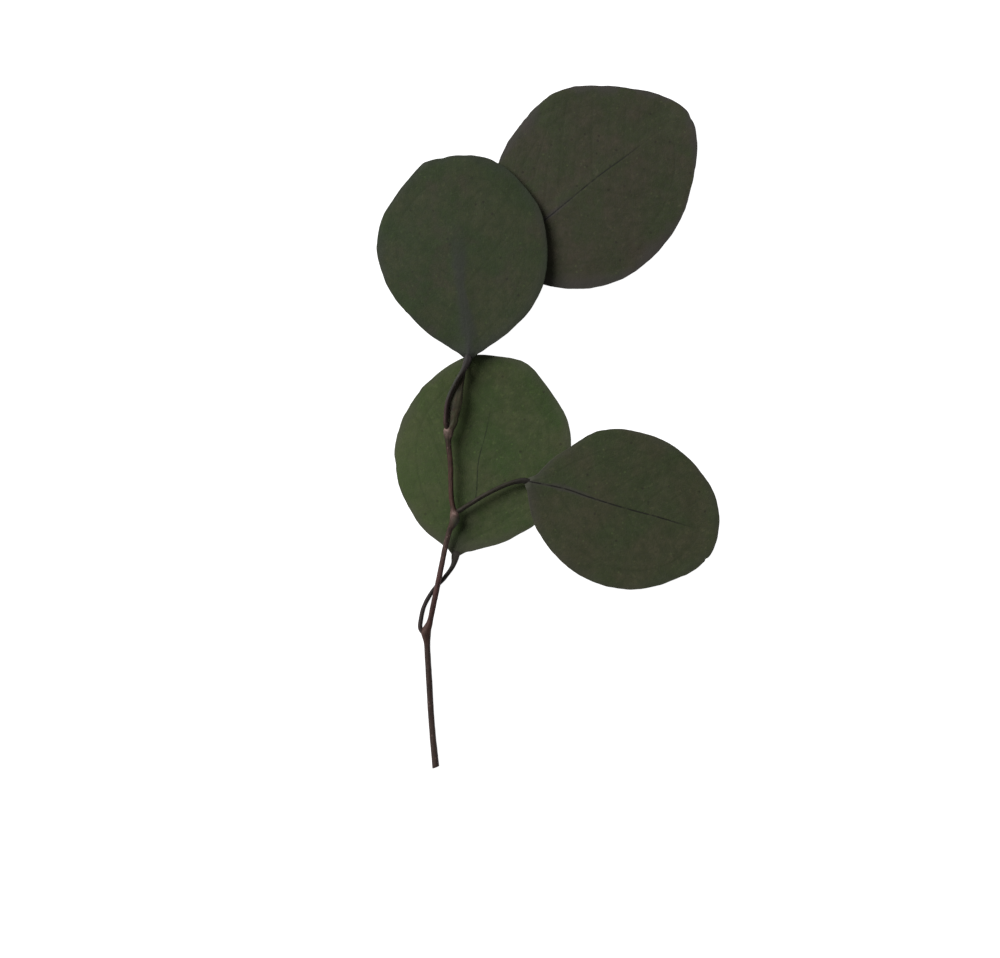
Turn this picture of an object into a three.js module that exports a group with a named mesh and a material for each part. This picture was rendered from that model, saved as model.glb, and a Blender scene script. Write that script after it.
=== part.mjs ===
// A preserved eucalyptus sprig (silver-dollar gum), cut and laid flat on a surface.
//
// One slim woody stem carries four round leaves, one from each side in turn, and
// every leaf is a stalk (petiole) and a thin blade. The leaves are numbered from
// the cut end up: leaf_1 is pressed flat under the stem, leaf_2 leans to the right,
// leaf_3 lies on top of everything and hides the end of the stem, leaf_4 is the
// large one at the far end.
//
// Units are millimetres. +Y runs from the cut end to the leaves, +Z is up from the
// surface, and the origin is on the surface under the middle of the sprig.

import * as THREE from 'three';
import { mergeVertices } from 'three/addons/utils/BufferGeometryUtils.js';

// ---------------------------------------------------------------- dimensions

const BLADE_THICKNESS = 0.45;
const BLADE_GRID = 20; // cells along each side of a blade
const RIB_DEPTH = 0.55; // how far the midrib stands below the blade, at its base
const RIB_HALF_WIDTH = 2.4;

const STEM_SIDES = 12;
const STEM_STEPS = 56;
const PETIOLE_SIDES = 8;
const PETIOLE_STEPS = 20;
const UP = new THREE.Vector3(0, 0, 1);

// The stem's centre line, from the cut end to the dry stub past the last leaf.
const STEM_ROUTE = [
  [-33.8, -102.1, 1.06],
  [-35.0, -89.0, 1.06],
  [-35.9, -73.5, 1.4],
  [-36.3, -62.2, 1.95], // first node
  [-35.2, -57.0, 2.2],
  [-33.4, -48.5, 2.6],
  [-31.9, -41.0, 2.85],
  [-30.2, -33.0, 3.1],
  [-28.4, -26.6, 3.35], // second node
  [-29.1, -21.0, 3.5],
  [-29.3, -12.0, 3.75],
  [-29.9, -1.6, 4.1], // third node
  [-28.5, 0.8, 4.2],
  [-28.1, 3.5, 4.4],
  [-27.45, 6.9, 4.6],
  [-26.75, 10.5, 4.5],
  [-25.9, 14.5, 4.05],
  [-24.9, 19.0, 3.8],
  [-22.6, 26.0, 3.6],
  [-21.6, 30.2, 3.4], // last node
  [-22.0, 33.0, 3.3],
];

// The stem's radius from the cut end to the stub, at equal steps along its length.
const STEM_RADII = [0.98, 0.95, 0.91, 0.92, 0.83, 0.82, 0.83, 0.72, 0.78, 0.87, 0.78, 0.7, 0.45];

// Where the stem thickens: the flared cut, and the node under each leaf.
const STEM_SWELLINGS = [
  { at: [-33.8, -102.1], extra: 0.06, reach: 2.0 },
  { at: [-36.3, -62.2], extra: 0.45, reach: 2.0 },
  { at: [-28.1, -27.6], extra: 0.6, reach: 1.9 },
  { at: [-29.9, -1.9], extra: 0.48, reach: 1.7 },
  { at: [-21.6, 30.2], extra: 0.25, reach: 1.4 },
];

// Where the stem is flat and wide, past the third node: its width grows by this share.
const STEM_FLAT = { at: [-27.5, 6.7], extra: 1.05, reach: 5.0 };

// A leaf. `base` is where the stalk meets the blade's underside, `heading` the
// direction of the midrib in degrees from +X, and `outline` the blade's margin as
// [along, across] from the base, where +across is to the left of the midrib, and
// the first point is the tip. The rest shapes the underside: its height over the
// surface at the blade's middle, and what is added towards the tip (pitch), the
// left (roll), both ends (bow), both sides (cup) and round the margin (ripple).
const LEAVES = [
  {
    name: 'leaf_1',
    base: [-27.75, -37.65],
    heading: 77.3,
    outline: [
      [60, 0], [58.5, 8], [54.5, 14], [43, 22], [30, 25], [17.5, 22], [6.5, 13.5], [2.5, 7],
      [0, 0], [2.5, -7], [6.5, -14], [17, -24], [30, -27.5], [44.5, -24.5], [55.5, -14.5], [60, -7.5],
    ],
    middle: -0.35, pitch: 0.9, roll: 0, bow: 1.6, cup: 0.7, ripple: 0.25, turn: 40,
    petiole: [
      [-38.35, -60.4, 1.75],
      [-38.25, -58.0, 1.2],
      [-37.4, -54.2, 0.84],
      [-35.8, -51.0, 0.76],
      [-33.6, -47.9, 0.74],
      [-31.0, -45.1, 0.74],
      [-28.6, -41.6, 0.78],
      [-27.8, -38.4, 0.82],
    ],
    petioleRadii: [0.68, 0.66, 0.66, 0.66, 0.68, 0.76],
    color: 0x414b30,
  },
  {
    name: 'leaf_2',
    base: [-6.45, -16.35],
    heading: -15.7,
    outline: [
      [59.5, 0], [57.5, 7.5], [53.5, 13.5], [42, 21], [30, 23.3], [17.5, 20.7], [6, 9], [2, 2.5],
      [0, 0], [2.5, -6.5], [6.5, -13], [17.5, -21], [30, -24], [42.5, -21.5], [53.5, -14], [58.5, -7.5],
    ],
    middle: 0.9, pitch: -1.25, roll: -0.1, bow: 0.2, cup: 0.5, ripple: 0.3, turn: 200,
    petiole: [
      [-26.3, -24.95, 3.35],
      [-25.2, -24.25, 3.3],
      [-23.55, -23.25, 3.2],
      [-21.6, -22.0, 3.1],
      [-18.1, -20.0, 2.95],
      [-11.6, -17.05, 2.75],
      [-7.1, -16.2, 2.65],
    ],
    petioleRadii: [0.68, 0.7, 0.7, 0.7, 0.72, 0.78],
    color: 0x3a3d2d,
  },
  {
    name: 'leaf_3',
    base: [-23.95, 20.6],
    heading: 95.0,
    outline: [
      [60.4, 0], [59, 7.7], [54.2, 13.8], [49, 18.4], [43.4, 22.4], [37, 24.2], [30.5, 24.4],
      [19, 20.2], [9, 12.2], [4.3, 7], [0, 0], [3, -7.3], [7, -13.5], [17, -22.9], [30.5, -26.4],
      [43, -24.8], [55, -16.4], [59.2, -9.5],
    ],
    middle: 4.6, pitch: -1.7, roll: -1.4, bow: 0.2, cup: -0.5, ripple: 0.3, turn: 120,
    petiole: [
      [-30.6, 0.8, 5.1],
      [-30.5, 3.5, 5.15],
      [-30.2, 6.3, 5.3],
      [-29.35, 9.3, 5.5],
      [-27.4, 13.3, 5.85],
      [-25.3, 16.8, 6.25],
      [-24.15, 19.8, 6.6],
    ],
    petioleRadii: [0.74, 0.74, 0.78, 0.84, 0.95],
    color: 0x3a3e2d,
  },
  {
    name: 'leaf_4',
    base: [-16.65, 50.55],
    heading: 37.3,
    outline: [
      [73, 0], [69.5, 8.5], [64, 15], [52, 25], [45, 27.8], [37.5, 28.2], [30.5, 26.6], [23.4, 24.3],
      [12, 17], [4.5, 9], [0, 0], [3.5, -9], [8, -17], [22, -27.1], [37.5, -29], [52, -24.7],
      [64.5, -15.5], [70.3, -8.7],
    ],
    middle: 1.3, pitch: -1.6, roll: 0.9, bow: 0.1, cup: -0.4, ripple: 0.3, turn: 300,
    petiole: [
      [-19.8, 31.9, 3.3],
      [-18.4, 35.5, 3.2],
      [-17.5, 40.5, 3.1],
      [-17.0, 46.0, 3.15],
      [-16.85, 49.9, 3.25],
    ],
    petioleRadii: [0.74, 0.7, 0.68, 0.76],
    color: 0x3c3c30,
  },
];

// ------------------------------------------------------------------ materials

const woodMaterial = (color) =>
  new THREE.MeshStandardMaterial({ color, roughness: 0.75, metalness: 0 });

const leafMaterial = (color) =>
  new THREE.MeshStandardMaterial({ color, roughness: 0.62, metalness: 0 });

// ------------------------------------------------------------------- geometry

/** Merges the corners that a three.js geometry keeps apart, so that the body is closed. */
function closed(geometry) {
  geometry.deleteAttribute('normal');
  geometry.deleteAttribute('uv');
  const merged = mergeVertices(geometry, 1e-5);
  merged.computeVertexNormals();
  return merged;
}

/** Moves every vertex of a geometry to the place that `place(vertex)` returns. */
function remap(geometry, place) {
  const positions = geometry.getAttribute('position');
  const vertex = new THREE.Vector3();
  for (let i = 0; i < positions.count; i += 1) {
    const moved = place(vertex.fromBufferAttribute(positions, i));
    positions.setXYZ(i, moved.x, moved.y, moved.z);
  }
  return geometry;
}

/** A value read from a list that spans 0 to 1 in equal steps. */
function readAlong(values, t) {
  const place = THREE.MathUtils.clamp(t, 0, 1) * (values.length - 1);
  const index = Math.min(Math.floor(place), values.length - 2);
  return THREE.MathUtils.lerp(values[index], values[index + 1], place - index);
}

/**
 * A closed bar along a route. Its radius is `radiusAt(share of the length, point)`, and
 * its level width is `widthAt(point)` times the round bar's.
 */
function taperedBar(route, radiusAt, sides, steps, widthAt = () => 1) {
  const curve = new THREE.CatmullRomCurve3(route.map((p) => new THREE.Vector3(...p)), false, 'centripetal');
  const frames = curve.computeFrenetFrames(steps, false);
  const bar = new THREE.CylinderGeometry(1, 1, 1, sides, steps);
  return closed(remap(bar, (v) => {
    const t = v.y + 0.5;
    const step = Math.round(t * steps);
    const centre = curve.getPointAt(t);
    const radius = radiusAt(t, centre);
    const offset = new THREE.Vector3()
      .addScaledVector(frames.binormals[step], v.x * radius)
      .addScaledVector(frames.normals[step], v.z * radius);
    const side = frames.tangents[step].clone().cross(UP).normalize();
    return offset.addScaledVector(side, offset.dot(side) * (widthAt(centre) - 1)).add(centre);
  }));
}

/** Distance from a blade's middle to its margin, as a function of the direction. */
function marginOf(outline) {
  const half = outline[0][0] / 2;
  const curve = new THREE.CatmullRomCurve3(
    outline.map(([along, across]) => new THREE.Vector3(along - half, across, 0)), true, 'centripetal');
  const samples = curve.getPoints(720).slice(0, -1)
    .map((p) => ({ angle: Math.atan2(p.y, p.x), distance: Math.hypot(p.x, p.y) }))
    .sort((a, b) => a.angle - b.angle);
  const first = samples[0];
  const last = samples[samples.length - 1];
  samples.unshift({ angle: last.angle - 2 * Math.PI, distance: last.distance });
  samples.push({ angle: first.angle + 2 * Math.PI, distance: first.distance });
  return (angle) => {
    const next = samples.findIndex((s) => s.angle > angle);
    const [a, b] = [samples[next - 1], samples[next]];
    return THREE.MathUtils.mapLinear(angle, a.angle, b.angle, a.distance, b.distance);
  };
}

/** Height of a blade's underside over the surface, at a place in the blade's own plane. */
function undersideOf(leaf, half, x, y) {
  const u = x / half;
  const v = y / half;
  const ripple = leaf.ripple * (u * u + v * v) ** 1.5
    * Math.sin(3 * Math.atan2(v, u) + THREE.MathUtils.degToRad(leaf.turn));
  return leaf.middle + leaf.pitch * u + leaf.roll * v + leaf.bow * u * u + leaf.cup * v * v + ripple;
}

/**
 * A blade: a square plate whose grid is drawn out to the leaf's margin and bent to
 * its height. It stays at or above the surface, so a part that would dip below it is
 * pressed flat, and the midrib thickens it below, towards the stalk.
 */
function bladeGeometry(leaf) {
  const half = leaf.outline[0][0] / 2;
  const marginAt = marginOf(leaf.outline);
  const plate = new THREE.BoxGeometry(2, 2, 1, BLADE_GRID, BLADE_GRID, 1);
  return closed(remap(plate, (v) => {
    const x = v.x * Math.sqrt(1 - (v.y * v.y) / 2);
    const y = v.y * Math.sqrt(1 - (v.x * v.x) / 2);
    const reach = marginAt(Math.atan2(y, x));
    const underside = Math.max(0, undersideOf(leaf, half, x * reach, y * reach));
    const towardsBase = (1 - x) / 2;
    const overRib = Math.max(0, 1 - Math.abs(y * reach) / RIB_HALF_WIDTH);
    const rib = RIB_DEPTH * towardsBase * overRib;
    const height = v.z > 0 ? underside + BLADE_THICKNESS : Math.max(0, underside - rib);
    return new THREE.Vector3(x * reach + half, y * reach, height);
  }));
}

// ---------------------------------------------------------------------- parts

/** What a swelling adds at a point of the stem's centre line. */
function swellingAt({ at, extra, reach }, centre) {
  const away = Math.hypot(centre.x - at[0], centre.y - at[1]) / reach;
  return extra * Math.exp(-away * away);
}

/** The stem, thicker at its cut end and at the node under each leaf, and flat past the third node. */
function mainStem() {
  const radiusAt = (t, centre) => STEM_SWELLINGS.reduce(
    (radius, swelling) => radius + swellingAt(swelling, centre), readAlong(STEM_RADII, t));
  const widthAt = (centre) => 1 + swellingAt(STEM_FLAT, centre);
  const stem = new THREE.Mesh(
    taperedBar(STEM_ROUTE, radiusAt, STEM_SIDES, STEM_STEPS, widthAt), woodMaterial(0x3e302a));
  stem.name = 'main_stem';
  return stem;
}

/** A leaf's stalk, from the stem to the blade. */
function petiole(leaf) {
  const radiusAt = (t) => readAlong(leaf.petioleRadii, t);
  const stalk = new THREE.Mesh(
    taperedBar(leaf.petiole, radiusAt, PETIOLE_SIDES, PETIOLE_STEPS), woodMaterial(0x3b3028));
  stalk.name = `${leaf.name}_petiole`;
  return stalk;
}

/** A leaf's blade, turned to its heading with its base where the stalk ends. */
function blade(leaf) {
  const plate = new THREE.Mesh(bladeGeometry(leaf), leafMaterial(leaf.color));
  plate.name = `${leaf.name}_blade`;
  plate.position.set(leaf.base[0], leaf.base[1], 0);
  plate.rotation.z = THREE.MathUtils.degToRad(leaf.heading);
  return plate;
}

const sprig = new THREE.Group();
sprig.name = 'eucalyptus_sprig';
sprig.add(mainStem());
for (const leaf of LEAVES) {
  sprig.add(petiole(leaf), blade(leaf));
}

export default sprig;
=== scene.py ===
"""Look model of a preserved eucalyptus sprig that lies flat on a pale surface.

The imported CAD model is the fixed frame. Every piece here stands for one of its
nodes: the stem, and for each of four leaves a stalk and a blade. A blade takes its
margin and its height from its CAD node, and the stem and the stalks follow the
CAD's centre lines. Sizes are in millimetres, and a mesh is written in metres.
"""

import logging
import math
from dataclasses import dataclass, field
from enum import Enum
from typing import Callable, Sequence

import bmesh
import bpy
import numpy as np
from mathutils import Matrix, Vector, noise
from mathutils.bvhtree import BVHTree


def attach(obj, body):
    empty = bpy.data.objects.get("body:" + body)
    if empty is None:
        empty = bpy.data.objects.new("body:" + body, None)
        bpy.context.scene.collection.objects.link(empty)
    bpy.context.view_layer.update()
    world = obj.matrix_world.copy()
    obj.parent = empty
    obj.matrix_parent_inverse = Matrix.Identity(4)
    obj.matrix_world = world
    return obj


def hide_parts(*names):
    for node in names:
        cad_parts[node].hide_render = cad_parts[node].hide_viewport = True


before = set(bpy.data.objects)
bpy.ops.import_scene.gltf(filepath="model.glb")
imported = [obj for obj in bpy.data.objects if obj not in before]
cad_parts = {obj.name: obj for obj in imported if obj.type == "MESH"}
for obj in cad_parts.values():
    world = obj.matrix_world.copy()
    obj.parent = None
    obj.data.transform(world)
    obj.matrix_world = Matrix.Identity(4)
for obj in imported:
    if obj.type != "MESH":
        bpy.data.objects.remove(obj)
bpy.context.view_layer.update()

LOG = logging.getLogger("sprig")
MM = 0.001
BODY = "root"
SPECULAR = 0.18
WHITE = (1.0, 1.0, 1.0, 1.0)

Array = np.ndarray
Point = tuple[float, float, float]
Colour = tuple[int, int, int]
Socket = bpy.types.NodeSocket
Placer = Callable[[Array], tuple[Array, dict[str, Array]]]


# ------------------------------------------------------------------ small maths


def bump(distance: Array, width: Array | float) -> Array:
    """A smooth hump of height 1 at distance 0 that has faded out at twice the width."""
    return np.exp(-((distance / width) ** 2))


def smoothstep(low: float, high: float, value: Array) -> Array:
    """0 below low, 1 above high, and a smooth rise between them."""
    t = np.clip((value - low) / (high - low), 0.0, 1.0)
    return t * t * (3.0 - 2.0 * t)


def cloud(points: Array, cell: float, seed: float, octaves: int = 3) -> Array:
    """Fractal noise at points.

    Args:
        points: An array whose last axis holds x, y and z, in millimetres.
        cell: The size of the largest lumps, in millimetres.
        seed: Moves the pattern, so that two pieces differ.
        octaves: How many finer layers are added.

    Returns:
        Values of about -1 to 1, one for each point.
    """
    flat = points.reshape(-1, 3) / cell + seed * 17.31
    values = [noise.fractal(p, 1.0, 2.0, octaves) for p in flat.tolist()]
    return np.array(values).reshape(points.shape[:-1])


def blurred(field_values: Array, cells: int) -> Array:
    """A grid of values averaged over a small window, with its border repeated."""
    reach = 2 * cells
    kernel = bump(np.arange(-reach, reach + 1), float(cells))
    kernel /= kernel.sum()
    result = field_values
    for axis in (0, 1):
        padded = np.pad(result, [(reach, reach) if a == axis else (0, 0) for a in (0, 1)], mode="edge")
        result = np.apply_along_axis(lambda row: np.convolve(row, kernel, mode="valid"), axis, padded)
    return result


class Route:
    """A smooth line through points, as the CAD draws it (a centripetal Catmull-Rom curve)."""

    SAMPLES = 24

    def __init__(self, points: Sequence[Sequence[float]]) -> None:
        """Works out the dense line and its length.

        Args:
            points: The points that the line runs through, in millimetres.
        """
        p = np.array(points, float)
        p = np.vstack([2 * p[0] - p[1], p, 2 * p[-1] - p[-2]])
        gaps = np.sqrt(np.linalg.norm(np.diff(p, axis=0), axis=1))[:, None]
        t = np.linspace(0, 1, self.SAMPLES, endpoint=False)[:, None]
        dense = []
        for i in range(1, len(p) - 2):
            d0, d1, d2 = gaps[i - 1], gaps[i], gaps[i + 1]
            a, b, c, d = p[i - 1 : i + 3]
            out = ((b - a) / d0 - (c - a) / (d0 + d1) + (c - b) / d1) * d1
            into = ((c - b) / d1 - (d - b) / (d1 + d2) + (d - c) / d2) * d1
            dense.append(
                b + out * t + (3 * (c - b) - 2 * out - into) * t**2 + (2 * (b - c) + out + into) * t**3
            )
        self.line = np.vstack([*dense, p[-2][None]])
        steps = np.linalg.norm(np.diff(self.line, axis=0), axis=1)
        self.arc = np.concatenate([[0.0], np.cumsum(steps)])
        self.length = float(self.arc[-1])

    def at(self, share: Array) -> Array:
        """Points at these shares of the length."""
        where = np.asarray(share) * self.length
        return np.stack([np.interp(where, self.arc, c) for c in self.line.T], axis=-1)

    def heading(self, share: Array) -> Array:
        """Unit directions of travel at these shares of the length."""
        step = 0.004
        ahead = self.at(np.minimum(np.asarray(share) + step, 1.0))
        way = ahead - self.at(np.maximum(np.asarray(share) - step, 0.0))
        return way / np.linalg.norm(way, axis=-1, keepdims=True)

    def share_near(self, x: float, y: float) -> float:
        """Share of the length at the point of the line nearest to a place in plan."""
        away = np.hypot(self.line[:, 0] - x, self.line[:, 1] - y)
        return float(self.arc[away.argmin()] / self.length)


# ------------------------------------------------------------------- materials


def linear(colour: Colour) -> tuple[float, float, float, float]:
    """An sRGB colour of 0 to 255 as the linear colour that a shader takes."""
    parts = [c / 255.0 for c in colour]
    done = [c / 12.92 if c <= 0.04045 else ((c + 0.055) / 1.055) ** 2.4 for c in parts]
    return (done[0], done[1], done[2], 1.0)


class Graph:
    """A material's node tree, with a short call for each kind of node that is used here."""

    def __init__(self, name: str) -> None:
        """Makes an empty material with a Principled shader.

        Args:
            name: The material's name.
        """
        self.material = bpy.data.materials.new(name)
        self.material.use_nodes = True
        self.tree = self.material.node_tree
        self.tree.nodes.clear()
        self.shader = self.tree.nodes.new("ShaderNodeBsdfPrincipled")
        output = self.tree.nodes.new("ShaderNodeOutputMaterial")
        self.tree.links.new(self.shader.outputs[0], output.inputs["Surface"])

    def put(self, node: bpy.types.Node, socket: str | int, value: object) -> None:
        """Links a socket to another node's output, or sets it to a value."""
        if isinstance(value, Socket):
            self.tree.links.new(value, node.inputs[socket])
        else:
            node.inputs[socket].default_value = value

    def make(self, kind: str, values: dict[str, object]) -> bpy.types.Node:
        """A new node of that kind, with these values linked to its sockets or set on them."""
        node = self.tree.nodes.new(f"ShaderNode{kind}")
        for socket, value in values.items():
            self.put(node, socket, value)
        return node

    def attribute(self, name: str) -> Socket:
        """The piece's own value of that name, as a number."""
        node = self.make("Attribute", {})
        node.attribute_name = name
        return node.outputs["Fac"]

    def own_map(self, name: str, stretch: tuple[float, float, float] = (1, 1, 1)) -> Socket:
        """The piece's own UV map, stretched."""
        node = self.make("UVMap", {})
        node.uv_map = name
        return self.make("Mapping", {"Vector": node.outputs["UV"], "Scale": stretch}).outputs["Vector"]

    def moved(self, vector: Socket, by: float) -> Socket:
        """A vector moved by an amount of its own along each axis, which changes the pattern that reads it."""
        place = (by, 0.7 * by, 0.4 * by)
        return self.make("Mapping", {"Vector": vector, "Location": place}).outputs["Vector"]

    def noise(self, vector: Socket, scale: float, detail: float = 3.0, rough: float = 0.55) -> Socket:
        """Cloudy noise of 0 to 1, with `scale` lumps in each unit of the vector."""
        values = {"Vector": vector, "Scale": scale, "Detail": detail, "Roughness": rough}
        return self.make("TexNoise", values).outputs["Fac"]

    def cells(self, vector: Socket, scale: float, feature: str = "F1") -> Socket:
        """Distance in a pattern of cells, to a cell's middle or to its wall."""
        node = self.make("TexVoronoi", {"Vector": vector, "Scale": scale})
        node.feature = feature
        return node.outputs["Distance"]

    def spread(
        self, value: Socket, low: float, high: float, to_low: float = 0.0, to_high: float = 1.0
    ) -> Socket:
        """A value's range from low to high, spread smoothly over another range."""
        ends = {"From Min": low, "From Max": high, "To Min": to_low, "To Max": to_high}
        node = self.make("MapRange", {"Value": value, **ends})
        node.interpolation_type = "SMOOTHSTEP"
        return node.outputs["Result"]

    def math(self, operation: str, first: object, second: object = 0.0) -> Socket:
        """Two numbers put together, such as MULTIPLY or SUBTRACT."""
        node = self.make("Math", {})
        node.operation = operation
        self.put(node, 0, first)
        self.put(node, 1, second)
        return node.outputs[0]

    def mix(self, factor: object, first: object, second: object) -> Socket:
        """One colour laid over another by a factor."""
        node = self.make("Mix", {})
        node.data_type = "RGBA"
        self.put(node, 0, factor)
        self.put(node, 6, first)
        self.put(node, 7, second)
        return node.outputs[2]

    def lay(self, colour: Socket, factor: object, over: Colour) -> Socket:
        """A colour with a plain one laid over it by a factor."""
        return self.mix(factor, colour, linear(over))

    def ramp(self, value: Socket, stops: Sequence[tuple[float, Colour]]) -> Socket:
        """A colour that changes with a value, through these stops."""
        node = self.make("ValToRGB", {"Fac": value})
        elements = node.color_ramp.elements
        while len(elements) < len(stops):
            elements.new(0.5)
        for element, (position, colour) in zip(elements, stops):
            element.position = position
            element.color = linear(colour)
        return node.outputs["Color"]

    def bump(self, height: Socket, depth: float) -> Socket:
        """A normal that shows a height of 0 to 1 as that depth in millimetres."""
        return self.make("Bump", {"Height": height, "Distance": depth * MM}).outputs["Normal"]


def tinted(colour: Colour, factor: float) -> Colour:
    """A colour made lighter or darker by a factor."""
    return tuple(min(255, round(c * factor)) for c in colour)


@dataclass(frozen=True)
class LeafFinish:
    """The skin of one blade: drifting greens, a grey bloom, brown patches, flecks and fine net veins.

    Lengths are in millimetres. `bloom_reach` is how far the bloom comes in from the
    margin, `bloom_strength` how much of it shows there, and `base_bloom` how much shows
    at the blade's base. `band` is the half width of the grey band along the midrib,
    `band_end` the share where it ends and `band_strength` how much of it shows. `line`
    is the midrib's own half width, and it shows between the two shares in `line_span`.
    `painted_left_light` is how much painted light, a lighter olive, shows at the left margin, the side that
    faces the lamp.
    """

    name: str
    green: Colour
    olive: Colour
    brown: Colour
    bloom: Colour
    rib: Colour
    bloom_reach: float = 4.0
    brown_amount: float = 0.4
    band: float = 2.0
    band_end: float = 0.7
    line: float = 0.16
    line_span: tuple[float, float] = (0.02, 0.8)
    bloom_strength: float = 0.5
    base_bloom: float = 0.7
    band_strength: float = 0.75
    painted_left_light: float = 0.0
    seed: float = 0.0
    roughness: float = 0.7

    def skin(self, g: Graph, plan: Socket) -> Socket:
        """The blade's greens, with their drifts, brown patches, flecks and oil glands."""
        drift = g.spread(g.noise(plan, 0.065, 3.0), 0.38, 0.62)
        colour = g.mix(drift, linear(self.green), linear(self.olive))
        patches = g.spread(g.noise(g.moved(plan, 13.0), 0.3, 4.0, 0.6), 0.35, 0.68, 0.0, 0.55)
        colour = g.lay(colour, patches, tinted(self.green, 0.84))
        brown = g.spread(g.noise(g.moved(plan, 31.0), 0.12, 4.0, 0.62), 0.5, 0.68, 0.0, self.brown_amount)
        colour = g.lay(colour, brown, self.brown)
        mottle = g.spread(g.noise(plan, 0.9, 5.0, 0.66), 0.32, 0.7, 0.0, 0.34)
        colour = g.lay(colour, mottle, tinted(self.green, 0.72))
        pale = g.spread(g.noise(g.moved(plan, 47.0), 0.75, 3.0, 0.6), 0.58, 0.72, 0.0, 0.3)
        colour = g.lay(colour, pale, tinted(self.olive, 1.3))

        glands = g.spread(g.cells(g.moved(plan, 11.0), 0.55), 0.1, 0.24, 1.0, 0.0)
        crowd = g.spread(g.noise(g.moved(plan, 7.0), 0.22, 2.0), 0.5, 0.62, 0.0, 0.35)
        colour = g.lay(colour, g.math("MULTIPLY", glands, crowd), tinted(self.green, 1.5))
        flecks = g.spread(g.cells(g.moved(plan, 23.0), 0.3), 0.06, 0.17, 0.6, 0.0)
        crowd = g.spread(g.noise(g.moved(plan, 53.0), 0.16, 2.0), 0.44, 0.56)
        return g.lay(colour, g.math("MULTIPLY", flecks, crowd), tinted(self.brown, 0.5))

    def material(self) -> bpy.types.Material:
        """Builds the material.

        Returns:
            A material that reads the blade's `leaf` map, in millimetres, and its attributes.
        """
        g = Graph(self.name)
        plan = g.moved(g.own_map("leaf"), self.seed)
        edge, rib, along = g.attribute("edge"), g.attribute("rib"), g.attribute("along")
        under, vein = g.attribute("under"), g.attribute("vein")
        colour = self.skin(g, plan)

        # Painted light: a lighter olive toward the left margin, the side that faces the lamp.
        painted_light = g.spread(g.attribute("across"), -6.0, 26.0, 0.0, self.painted_left_light)
        colour = g.lay(colour, painted_light, tinted(self.olive, 1.35))
        net = g.spread(g.cells(plan, 0.7, "DISTANCE_TO_EDGE"), 0.0, 0.14, 0.16, 0.0)
        colour = g.lay(colour, net, self.bloom)
        reach = g.spread(g.noise(g.moved(plan, 3.0), 0.055, 3.0), 0.36, 0.66, 0.15, self.bloom_reach)
        bloom = g.spread(g.math("DIVIDE", edge, reach), 0.0, 1.0, self.bloom_strength, 0.0)
        colour = g.lay(colour, bloom, self.bloom)

        wander = g.spread(g.noise(g.moved(plan, 17.0), 0.12, 2.0), 0.3, 0.7, 0.5, 1.5)
        band = g.spread(g.math("DIVIDE", rib, wander), 0.2 * self.band, self.band, self.band_strength, 0.0)
        band = g.math("MULTIPLY", band, g.spread(along, 0.6 * self.band_end, self.band_end, 1.0, 0.0))
        colour = g.lay(colour, band, self.bloom)
        base = g.spread(along, 0.0, 0.13, self.base_bloom, 0.0)
        colour = g.lay(colour, base, self.bloom)
        colour = g.lay(colour, g.math("MULTIPLY", vein, 0.3), tinted(self.green, 0.75))

        start, end = self.line_span
        line = g.spread(rib, 0.4 * self.line, 1.5 * self.line, 1.0, 0.0)
        line = g.math("MULTIPLY", line, g.spread(along, start, start + 0.06))
        line = g.math("MULTIPLY", line, g.spread(along, end - 0.2, end, 1.0, 0.0))
        line = g.math("MULTIPLY", line, g.spread(g.noise(plan, 0.6, 3.0), 0.3, 0.52, 0.35, 1.0))
        colour = g.lay(colour, line, self.rib)

        below = tuple(round(0.5 * c + 0.5 * b + 8) for c, b in zip(self.olive, self.bloom))
        underside = g.mix(g.math("MULTIPLY", vein, 0.5), linear(below), linear(tinted(below, 1.25)))
        mottle = g.spread(g.noise(plan, 0.9, 5.0, 0.66), 0.32, 0.7, 0.0, 0.4)
        underside = g.lay(underside, mottle, tinted(self.green, 0.9))
        colour = g.mix(under, colour, underside)

        grain = g.noise(plan, 3.0, 4.0, 0.6)
        g.put(g.shader, "Base Color", colour)
        g.put(g.shader, "Roughness", g.spread(grain, 0.3, 0.7, self.roughness - 0.06, self.roughness + 0.08))
        g.shader.inputs["Specular IOR Level"].default_value = SPECULAR
        fine_net = g.spread(g.cells(g.moved(plan, 5.0), 1.7, "DISTANCE_TO_EDGE"), 0.0, 0.15)
        height = g.math("SUBTRACT", g.math("MULTIPLY", grain, 0.8), g.math("MULTIPLY", net, 1.6))
        height = g.math("ADD", height, g.math("MULTIPLY", fine_net, 0.15))
        g.put(g.shader, "Normal", g.bump(height, 0.05))
        return g.material


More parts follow.
